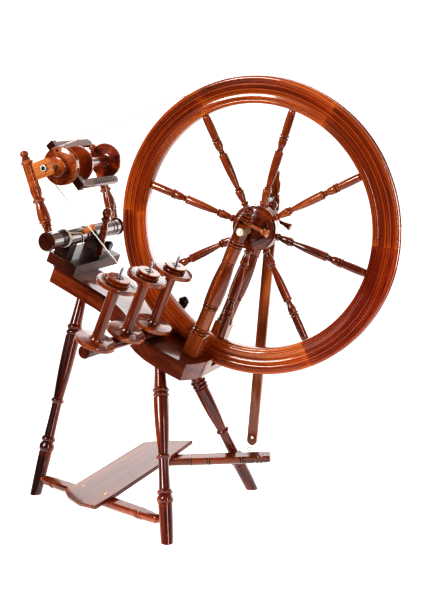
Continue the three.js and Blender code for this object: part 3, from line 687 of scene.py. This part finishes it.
def make_drive_wheel():
    joint_half = 0.03
    for i in range(6):
        start = felloe_phase + 60 * i
        name = f"felloe_{i + 1}"
        mesh = rim_mesh(start + joint_half, start + 60 - joint_half, name)
        piece(f"{name}_moulded", mesh, WHEEL, "wheel", DARK_FELLOE if i == 0 else RIM, [name], sharp=40)
    hub = moved(turned(HUB_PROFILE, 54, 64), shift(0, 0, -27))
    piece("hub_turned", hub, WHEEL @ ALONG_Y, "wheel", HUB, ["hub"])
    foot = hub_radius - 0.8
    length = wheel_radius - rim_depth - hub_radius
    for i in range(8):
        angle = math.radians(spoke_phase + 45 * i)
        outward = Vector((math.cos(angle), 0, math.sin(angle)))
        place = WHEEL @ aim(outward * foot, outward * wheel_radius)
        mesh = turned(SPOKE_PROFILE, length, 32)
        node = f"spoke_{i + 1}"
        piece(f"{node}_turned", mesh, place, "wheel", TURNED, [node])
    piece("axle_and_crank", cad_copy("axle_crank", WHEEL), WHEEL, "wheel", STEEL, ["axle_crank"], "y",
          bevel=0.8)


def arc(centre, radius, start, end, steps):
    points = []
    for i in range(steps + 1):
        angle = math.radians(start + (end - start) * i / steps)
        points.append((centre[0] + radius * math.cos(angle), centre[1] + radius * math.sin(angle)))
    return points


def quadratic(start, middle, end, steps=7):
    """The points of a curve after its start."""
    return [
        tuple((1 - t) ** 2 * a + 2 * t * (1 - t) * b + t ** 2 * c for a, b, c in zip(start, middle, end))
        for t in ((i + 1) / steps for i in range(steps))
    ]


def footman_outline(length):
    """The footman from its crank hole down to its round foot, with the scrolled head above."""
    half = 10.5
    outline = arc((0, half - length), half, 180, 360, 14) + [(half, -22)]
    scroll = [
        ((14, -16), (14, -6)), ((14, 8), (8, 12)), ((14, 22), (12, 34)), ((8, 40), (9, 50)),
        ((6, 58), (0, 58)), ((-9, 52), (-8, 42)), ((-14, 34), (-13, 24)), ((-7, 18), (-8, 12)),
        ((-14, 8), (-14, -6)), ((-14, -16), (-half, -22)),
    ]
    for middle, end in scroll:
        outline += quadratic(outline[-1], middle, end)
    return outline


def make_footman():
    crank_radius = 44.3
    crank_angle = math.radians(89.5)
    crank = Vector((crank_radius * math.cos(crank_angle), 88, crank_radius * math.sin(crank_angle)))
    place = WHEEL @ shift(*crank) @ turn(4.9, "Y") @ turn(90, "X")
    hole = lathe([(0, -9), (4.5, -9), (4.5, 9), (0, 9)], 24)
    eye = moved(lathe([(0, -9), (3, -9), (3, 9), (0, 9)], 24), shift(0, -487, 0))
    mesh = carved(plate_mesh(footman_outline(503), -3.5, 3.5), hole, eye)
    piece("footman_stick", mesh, place, "footman", FOOTMAN, ["footman"], "y", bevel=1.1)
    screw = turned([plain(11, 4), plain(2.4, 7.5), cone(0.8, 7.5, 6.4)], 11, 32)
    slot = box_mesh((-5, -0.7, 9.8), (5, 0.7, 13))
    piece("footman_pivot_screw", carved(screw, slot), place @ shift(0, 0, 3.4) @ turn(180, "X"), "footman",
          STEEL, ["footman_screw"])
    face = turned([plain(0.6, 5.2), vase(1.2, 5.2, 0, 0.6)], 1.7, 28)
    piece("crank_stub_face", face, WHEEL @ shift(crank.x, 73.6, crank.z) @ turn(90, "X"), "wheel", CAP)


# ---------------------------------------------------------------------------------------------------------
# Treadle

RAIL_PROFILE = [
    vase(6, 5.4, 9, 0.6), vase(20, 9.2, 10, 0.4), bead(3, 8.6, 11), bead(7, 9, 12), cone(2, 8.8, 10.4),
    vase(125, 11, 11.4, 0.4), vase(110, 11.4, 11.2, 0.3), cone(3, 11, 9.6), bead(4, 9, 12),
    bead(9, 9.6, 12), bead(4, 9, 11.6), vase(26, 10.6, 9.4, 0.6), vase(13, 9.4, 5.4, 1.4),
]
TREADLE_BAR_PROFILE = [
    plain(34, 12), cone(0.6, 12, 11), bead(1.8, 12, 13.5), cone(0.6, 11, 12.4), plain(12, 12.5),
    cone(0.6, 12, 11), bead(1.8, 12, 13.5), cone(0.6, 11, 12.4), plain(24, 12.5), cone(0.6, 12, 10.4),
    bead(1.8, 11.5, 13), cone(0.6, 10.4, 12), plain(8, 12), cone(1, 12, 11), bead(3, 11.6, 12.9),
    bead(3, 11.6, 12.9), vase(6, 12, 10, 1),
]


def screw_head(name, place, body, material):
    """A countersunk screw with a slot, its head flush with the surface at z = 0."""
    radius = 3.2
    head = turned([plain(1, radius), cone(0.5, radius, radius * 0.85)], 1.5, 24)
    slot = box_mesh((-radius, -0.4, 0.7), (radius, 0.4, 3))
    piece(name, moved(carved(head, slot), shift(0, 0, -1.1)), place, body, material)


def make_treadle():
    half = 165  # of the rail's length
    flat = 8.5  # the height of the planed tops
    rail = moved(turned(RAIL_PROFILE, 2 * half, 44), shift(-half, 0, 0) @ ALONG_X)
    above = box_mesh((-400, -40, flat), (400, 40, flat + 60))
    piece("treadle_rail_turned", carved(rail, above), TREADLE, "treadle", TURNED, ["treadle_rail"], "x")
    pin_length = 9
    for side, x in (("left", -half - pin_length), ("right", half)):
        pin = moved(turned([plain(1, 5)], pin_length, 24), shift(x, 0, 0) @ ALONG_X)
        piece(f"treadle_pin_{side}", pin, TREADLE, "treadle", TURNED, along="x")
    piece("treadle_board_planed", cad_copy("treadle_board", TREADLE), TREADLE, "treadle", BOARD,
          ["treadle_board"], "y", bevel=1.6)
    for i, x in enumerate((-42, 22)):
        screw_head(f"board_screw_{i + 1}", TREADLE @ shift(x, 0, 16.8), "treadle", BRASS)
    start, end = Vector((-23.5, 161.7, 0)), Vector((196.5, 291.7, 2))
    place = TREADLE @ aim(start, end)
    top = moved(box_mesh((-200, -60, flat), (400, 400, flat + 60)), place.inverted() @ TREADLE)
    bar = carved(turned(TREADLE_BAR_PROFILE, (end - start).length, 44), top)
    piece("treadle_bar_turned", bar, place, "treadle", TREADLE_BAR, ["treadle_bar"])
    along = (end - start).normalized()
    for i, back in enumerate((7, 15)):
        hole = lathe([(0, 0), (2.2, 0), (2.2, 0.5), (0, 0.5)], 20)
        spot = end - along * back
        piece(f"bar_pin_{i + 1}", hole, TREADLE @ shift(spot.x, spot.y, flat - 0.1), "treadle", BLACKENED)
    low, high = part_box("footman_hook")
    middle = (low + high) / 2
    path = [low / MM + Vector((1.5, 1.2, 1)), middle / MM]
    eye = Vector((middle.x / MM, middle.y / MM + 1, high.z / MM - 4))
    for i in range(11):
        angle = math.radians(-90 + 30 * i)
        path.append(eye + Vector((3.4 * math.cos(angle), 2.5 * math.cos(angle), 3.4 * math.sin(angle))))
    hook = tube_mesh(smooth_path(path, 3), 0.95, 10)
    piece("tie_hook", hook, Matrix(), "treadle", BRASS, ["footman_hook"])


# ---------------------------------------------------------------------------------------------------------
# Lazy kate

def bobbin_profile(height, flange, pulley, bore):
    """A bobbin with a hole: flanges with round edges, coves beside the core, and a grooved pulley."""
    top = height - pulley
    upper = top - flange
    small = pulley_radius
    disc = [
        (36.2, 0.4), (36.9, 1.4), (flange_radius, flange * 0.5), (36.9, flange - 1.4), (36.2, flange - 0.4),
        (34.5, flange),
    ]
    return [
        (bore, 0), (33, 0), *disc,
        (16, flange), (12.5, flange + 1.2), (10.6, flange + 4), (10, flange + 8),
        (10, upper - 8), (10.6, upper - 4), (12.5, upper - 1.2), (16, upper),
        (33, upper), *[(radius, upper + z) for radius, z in disc],
        (small, top), (small + 0.6, top + 0.8), (small + 0.2, top + pulley * 0.26),
        (small - pulley_groove, top + pulley * 0.5), (small + 0.2, top + pulley * 0.72),
        (small + 0.6, height - 0.8), (small - 0.6, height), (bore + 5, height),
        (bore + 4, height - 1.2), (bore, height - 1.4), (bore, 0),
    ]


def make_kate():
    start, end = (-101, -308, 12.3), (-82, -34, 12.3)
    length = (Vector(end) - Vector(start)).length
    rail = turned([cone(1.2, 10.9, 12), plain(length - 2.4, 12), cone(1.2, 12, 10.9)], length, 44)
    piece("kate_rail_turned", rail, BENCH @ aim(start, end), STAND, SHADED, ["kate_rail"])
    for i, (x, y) in enumerate(((-98, -283), (-91.5, -186), (-85, -93))):
        rod = turned([plain(162, 2.5), vase(4, 2.5, 0, 0.7)], 166, 20)
        piece(f"kate_rod_{i + 1}_turned", rod, BENCH @ shift(x, y, 12), STAND, STEEL, [f"kate_rod_{i + 1}"])
        name = f"kate_bobbin_{i + 1}"
        place = BENCH @ shift(x, y, 26) @ turn(70 * i, "Z")
        piece(f"{name}_turned", lathe(bobbin_profile(131, 8, 9, 3.3), 64), place, name, BOBBIN, [name])
        dark = lathe([(3.2, 0), (5.4, 0), (5.4, 1.6), (3.2, 1.6), (3.2, 0)], 28)
        piece(f"{name}_bush", dark, place @ shift(0, 0, 129.7), name, BLACKENED)


def make_storage_peg():
    profile = [
        plain(20, 5), plain(12, 6), cone(12, 6, 10), bead(4, 9, 11), vase(10, 9.5, 7, 3), cone(3, 6, 3),
    ]
    piece("storage_peg_turned", turned(profile, 64, 36), BENCH @ shift(-104, 66, -14), STAND, BLACKENED,
          ["storage_peg"])


# ---------------------------------------------------------------------------------------------------------
# Mother-of-all

MOTHER = "mother_of_all"
BAR_PROFILE = [
    cone(1.6, 16.4, 19), vase(4.4, 19, 18.4, 0.6), cone(1, 17.6, 16.6), plain(29, 17),
    *[bead(4.5, 15.6, 17.4) for _ in range(5)], plain(60, 17), *[bead(3.4, 15.6, 17.4) for _ in range(2)],
    plain(94, 17), bead(4, 15, 17.4), plain(8, 16.6), bead(4, 15, 17.4), plain(12, 17), bead(4, 14.5, 17.5),
    bead(8, 13, 19), cone(5, 16, 10), cone(1, 10, 9),
]
MAIDEN_PROFILE = [
    plain(10, 8), bead(4, 8, 11), bead(5, 8, 11), bead(7, 10, 13), vase(34, 12.5, 8.5, 1),
    cone(2, 8.5, 10.5), bead(7, 10.5, 13), cone(2, 10.5, 9), vase(22, 9, 11, 1), cone(1, 10.5, 9.6),
    plain(13, 10.5), cone(1, 9.6, 10.5), plain(15, 10.5), cone(1, 9.6, 10.5), plain(15, 10.5),
    cone(1, 10.5, 9.4), cone(6, 10, 13), cone(4, 13, 9), bead(3, 6.5, 9.4), bead(3, 6.5, 8.6), ball(14, 8.5),
]
HANDLE_PROFILE = [
    plain(25, 3), *[bead(3.4, 6, 8) for _ in range(7)], cone(2, 5.4, 6.6), bead(3, 6.2, 8), bead(3, 6, 7.6),
    vase(14, 6.4, 7.6, 0.8), bead(3, 6.6, 8.4), vase(14, 7.4, 6, 0.8), cone(3, 5.4, 5), cone(4, 5, 9.6),
    bead(5, 8.6, 10.4), cone(1, 8.4, 7.4), ball(20, 10.4),
]


def make_mother_of_all():
    piece("tilt_hinge_rod", cad_copy("tilt_hinge_pin", BENCH), BENCH, STAND, STEEL, ["tilt_hinge_pin"], "y")
    piece("carrier_board_planed", cad_copy("carrier_board", BENCH), BENCH, MOTHER, SHADOWED_CARRIER,
          ["carrier_board"], "y", bevel=2.0)
    for place_name in ("front", "rear"):
        node = f"bar_saddle_{place_name}"
        piece(f"{node}_cut", cad_copy(node, BENCH), BENCH, MOTHER, SHADOWED_SADDLE, [node], "z", bevel=1.2)
    piece("mother_of_all_bar_turned", turned(BAR_PROFILE, 288, 52), BAR @ shift(0, -80, 0) @ ALONG_Y,
          MOTHER, SHADED, ["mother_of_all_bar"])
    for place_name, y in (("front", -60), ("rear", 200)):
        node = f"maiden_{place_name}"
        maiden = turned(MAIDEN_PROFILE, 169, 40)
        piece(f"{node}_turned", maiden, MAIDENS @ shift(0, y, 18), MOTHER, BRIGHT, [node])
        bore = moved(lathe([(0, -9), (7.1, -9), (7.1, 9), (0, 9)], 36), shift(flyer_offset, 0, 0))
        mesh = carved(plate_mesh(bearing_outline(), -2.5, 2.5), bore)
        place = MAIDENS @ shift(0, y, flyer_rise) @ turn(90, "X")
        bearing = f"flyer_bearing_{place_name}"
        piece(f"{bearing}_plate", mesh, place, MOTHER, RAW, [bearing], "x", bevel=0.7)
        dimple = lathe([(0, 0), (1.8, 0), (1.5, 0.5), (0, 0.7)], 20)
        piece(f"{bearing}_pin", dimple, place @ shift(flyer_offset + 9, -6, 2.4), MOTHER, STEEL)
    peg_place = BENCH @ aim((-357.7, 34, 72.5), (-350.7, 34, 80.5))
    peg = turned([plain(12, 5), cone(1, 5, 6.3), plain(21, 6.5), cone(2, 6.5, 5)], 36, 36)
    piece("brake_peg_turned", peg, peg_place, "brake_peg", RAW, ["brake_peg"])
    handle_place = BENCH @ shift(-326, 92, 1.3) @ turn(-9, "Y")
    piece("tension_handle_turned", turned(HANDLE_PROFILE, 130, 36), handle_place, "tension_handle", BRIGHT,
          ["tension_handle"])
    knob = turned([plain(8, 2.5), cone(6, 6, 9), bead(7, 9, 10.5), cone(1, 9, 8)], 24, 36)
    knob_place = BENCH @ shift(bar_axis[0] + 15.3, 124, bar_axis[1] - 20) @ ALONG_X
    piece("lock_knob_turned", knob, knob_place, "lock_knob", BLACKENED, ["lock_knob"])


def bearing_outline():
    """A flyer bearing's outline, in the maiden's plane: x away from the maiden and y down."""
    half = 17
    reach = flyer_offset + 15
    outline = [(11, -half), (reach - 5, -half)]
    outline += quadratic(outline[-1], (reach, -half), (reach + 1.4, -half + 5), 5)
    outline += quadratic(outline[-1], (reach + 4.4, 0), (reach + 1.4, half - 5), 8)
    outline += quadratic(outline[-1], (reach, half), (reach - 5, half), 5)
    outline += [(11, half)]
    return outline


# ---------------------------------------------------------------------------------------------------------
# Flyer

ARM_INNER = 40


def hook_path():
    """A small wire hook, standing on z = 0, open towards +X."""
    radius = 2.3
    points = [(0, 0, -2), (0, 0, 2.6)]
    for degrees in range(20, 231, 30):
        angle = math.radians(degrees)
        points.append((radius - radius * math.cos(angle), 0, 3 + radius * math.sin(angle)))
    return points


def make_flyer():
    front, back = -66, 208
    tube = [
        (0, -40 - front), (4.6, -40 - front), (4.6, 0.5), (5.2, 0), (6.1, 0), (6.5, 0.5), (6.5, -24 - front),
        (5.6, -22.5 - front), (4, whorl_y - front), (4, back - front - 0.8), (3.2, back - front),
        (0, back - front),
    ]
    lip = [(4.7, -0.5), (6.2, -0.5), (6.6, 0), (6.6, 1.6), (4.7, 1.6), (4.7, -0.5)]
    piece("orifice_lip", lathe(lip, 40), FLYER @ shift(0, front - 0.2, 0) @ ALONG_Y, "flyer", CAP)
    eye = moved(turned([plain(1, 3.5)], 30, 24), shift(0, 0, 20) @ turn(90, "X"))
    place = FLYER @ shift(0, front, 0) @ ALONG_Y
    piece("flyer_shaft_turned", carved(lathe(tube, 40), eye), place, "flyer", STEEL, ["flyer_shaft"])
    whorl = [
        (4.3, 0), (18, 0), (20, 0.9), (20.8, 2), (20, 3), (16.6, 6.5), (20.2, 10.6), (21, 12),
        (36.6, 13.6), (38.4, 14.4), (39, 15.6), (38.8, 16.6), (36, 18.9), (36, 24.3), (38.8, 27.2),
        (39, 28.4), (38, 29.6), (36, 30), (4.3, 30), (4.3, 0),
    ]
    whorl_place = FLYER @ shift(0, whorl_y, 0) @ ALONG_Y
    piece("flyer_whorl_turned", lathe(whorl, 72), whorl_place, "flyer", BRIGHT, ["flyer_whorl"])
    # A near-black disc on the whorl's face stands for the finger hole, with nothing cut: painted shade.
    dot = lathe([(0, 0), (2.4, 0), (2.4, 0.5), (0, 0.5)], 20)
    angle = math.radians(215)
    spot = shift(31 * math.cos(angle), 31 * math.sin(angle), 12.9)
    piece("whorl_finger_hole", dot, whorl_place @ spot @ turn(180, "X"), "flyer", BLACKENED)
    piece("flyer_crossbar_cut", cad_copy("flyer_crossbar", FLYER), FLYER, "flyer", SHADED,
          ["flyer_crossbar"], "x", bevel=1.6)
    for arm, side, flip in (("lower", 1, 0), ("upper", -1, 180)):
        node = f"flyer_arm_{arm}"
        piece(f"{node}_cut", cad_copy(node, FLYER), FLYER, "flyer", BOARD, [node], "y", bevel=1.4)
        for i in range(9):
            place = FLYER @ shift(side * (ARM_INNER + 7), 74 + 10 * i, side * 4) @ turn(flip, "X")
            hook = tube_mesh(smooth_path(hook_path(), 2), 0.75, 8)
            piece(f"flyer_hook_{arm}_{i + 1}", hook, place, "flyer", WIRE)
        screw_place = FLYER @ shift(side * 49, 20, side * 9.2) @ turn(flip, "X")
        screw_head(f"flyer_screw_{arm}", screw_place, "flyer", STEEL)
    bobbin = lathe(bobbin_profile(132, 7, 12, 4.7), 72)
    piece("flyer_bobbin_turned", bobbin, FLYER @ shift(0, 58, 0) @ ALONG_Y, "flyer_bobbin", SPOOL_WITH_SHADE,
          ["flyer_bobbin"])


# ---------------------------------------------------------------------------------------------------------
# Cords

def belt_path(big, small, centre, turns=96):
    """The path of an open belt round two circles in a plane, the big one at the origin."""
    facing = math.degrees(math.atan2(centre[1], centre[0]))
    spread = math.degrees(math.acos((big - small) / math.hypot(*centre)))
    path = arc((0, 0), big, facing + spread, facing - spread + 360, turns)
    path += arc(centre, small, facing - spread, facing + spread, turns // 4)
    return path


def filled(path, spacing):
    """Adds points along a closed path's long straights."""
    full = []
    for i, point in enumerate(path):
        after = path[(i + 1) % len(path)]
        count = max(1, round(math.dist(point, after) / spacing))
        for k in range(count):
            full.append(tuple(a + (b - a) * k / count for a, b in zip(point, after)))
    return full


def make_cords():
    flyer_centre = (WHEEL.inverted() @ FLYER.translation) / MM
    path = filled(belt_path(277.5, 37.5, (flyer_centre.x, flyer_centre.z)), 14)
    band = tube_mesh([(x, 0, z) for x, z in path], 1.1, 10, closed=True)
    drive = piece("drive_band_cord", band, WHEEL, None, CORD, ["drive_band"])
    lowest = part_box("drive_band")[0]
    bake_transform(drive, STAND, MOTHER, start=(lowest.x + 0.16, 0, 0), end=(lowest.x + 0.09, 0, 0))

    groove = pulley_radius - pulley_groove + 1.4 + 1.1
    brake = filled(belt_path(groove, 2, (7 - flyer_offset, 17 + 4.5 - flyer_rise), 40), 10)
    place = MAIDENS @ shift(flyer_offset, 184, flyer_rise)
    line = tube_mesh([(x, 0, z) for x, z in brake], 0.5, 8, closed=True)
    piece("brake_band_line", line, place, MOTHER, NYLON, ["brake_band"])

    ring = arc((0, 0), 17.6, 0, 348, 29)
    for i in range(3):
        wrap = [(x, -18 + 2.2 * i, z) for x, z in ring]
        piece(f"brake_cord_wrap_{i + 1}", tube_mesh(wrap, 1.0, 8, closed=True), BAR, MOTHER, YARN)
    trail = [
        (8, -14, 16.5), (11, -2, 15), (12, 12, 14), (14, 24, 13), (17, 30, 6), (18.4, 34, -4),
        (18.6, 36, -13),
    ]
    piece("brake_cord_end", tube_mesh(smooth_path(trail), 1.0, 8), BAR, MOTHER, YARN)
    knot = [
        (12, -20, 13), (16, -17, 11), (18.5, -14, 6), (16, -12, 10), (13.4, -16, 14), (16.5, -19, 10),
        (18.6, -20, 4),
    ]
    piece("brake_cord_knot", tube_mesh(smooth_path(knot), 1.1, 8), BAR, MOTHER, YARN)


# ---------------------------------------------------------------------------------------------------------
# Camera, floor and light

def make_camera():
    camera = bpy.data.objects.new("camera", bpy.data.cameras.new("camera"))
    bpy.context.scene.collection.objects.link(camera)
    camera.data.lens = 69
    camera.data.sensor_width = 36
    azimuth = math.radians(25.06)
    elevation = math.radians(10.83)
    level = Vector((-math.sin(azimuth), math.cos(azimuth), 0))
    forward = level * math.cos(elevation) - Vector((0, 0, math.sin(elevation)))
    camera.location = WHEEL.translation + Vector((0.84062, -1.97259, 0.27169))
    camera.rotation_euler = forward.to_track_quat("-Z", "Y").to_euler()
    bpy.context.scene.camera = camera


def make_floor():
    mesh = bpy.data.meshes.new("floor")
    rim = arc((0, 0), 0.85, 0, 350, 35)
    mesh.from_pydata([(x, y, 0) for x, y in rim], [], [tuple(range(len(rim)))])
    floor = bpy.data.objects.new("floor", mesh)
    bpy.context.scene.collection.objects.link(floor)
    material, _, shader = graph("floor")
    shader.inputs["Base Color"].default_value = (0.93, 0.93, 0.93, 1)
    shader.inputs["Roughness"].default_value = 0.9
    shader.inputs["Specular IOR Level"].default_value = 0.1
    shader.inputs["Emission Color"].default_value = (1, 1, 1, 1)
    shader.inputs["Emission Strength"].default_value = 0.60
    mesh.materials.append(material)


def area_light(name, position, width, height, power):
    """A white softbox that faces the middle of the object."""
    light = bpy.data.lights.new(name, "AREA")
    light.shape = "RECTANGLE"
    light.size = width
    light.size_y = height
    light.energy = power
    lamp = bpy.data.objects.new(name, light)
    bpy.context.scene.collection.objects.link(lamp)
    lamp.location = position
    direction = Vector((0, 0, 0.4)) - Vector(position)
    lamp.rotation_euler = direction.to_track_quat("-Z", "Y").to_euler()


def make_light():
    """A world that is white behind the wheel and dim in front of it, and four softboxes."""
    world = bpy.data.worlds.new("studio")
    bpy.context.scene.world = world
    world.use_nodes = True
    tree = world.node_tree
    background = tree.nodes["Background"]
    background.inputs["Color"].default_value = (1, 1, 1, 1)
    direction = add(tree, "ShaderNodeTexCoord").outputs["Generated"]
    parts = add(tree, "ShaderNodeSeparateXYZ")
    tree.links.new(direction, parts.inputs["Vector"])
    backward = remapped(tree, parts.outputs["Y"], 0.10, 1.0, -0.1, 0.7)
    path = add(tree, "ShaderNodeLightPath")
    strength = add(tree, "ShaderNodeMath", operation="MAXIMUM")
    tree.links.new(backward, strength.inputs[0])
    tree.links.new(path.outputs["Is Camera Ray"], strength.inputs[1])
    tree.links.new(strength.outputs["Value"], background.inputs["Strength"])
    area_light("key", (-1.3, -2.7, 2.2), 0.9, 1.5, 98)
    area_light("strip", (2.4, -1.6, 1.0), 0.4, 2.0, 32)
    area_light("window", (-1.5, 2.9, 2.1), 3.2, 1.8, 26)
    area_light("low_window", (1.7, 3.3, 0.35), 2.2, 1.7, 45)


make_camera()
make_bench()
make_legs()
make_uprights()
make_drive_wheel()
make_footman()
make_treadle()
make_kate()
make_storage_peg()
make_mother_of_all()
make_flyer()
make_cords()
make_floor()
make_light()
bpy.context.scene.view_settings.view_transform = "Standard"
bpy.context.scene.view_settings.look = "High Contrast"
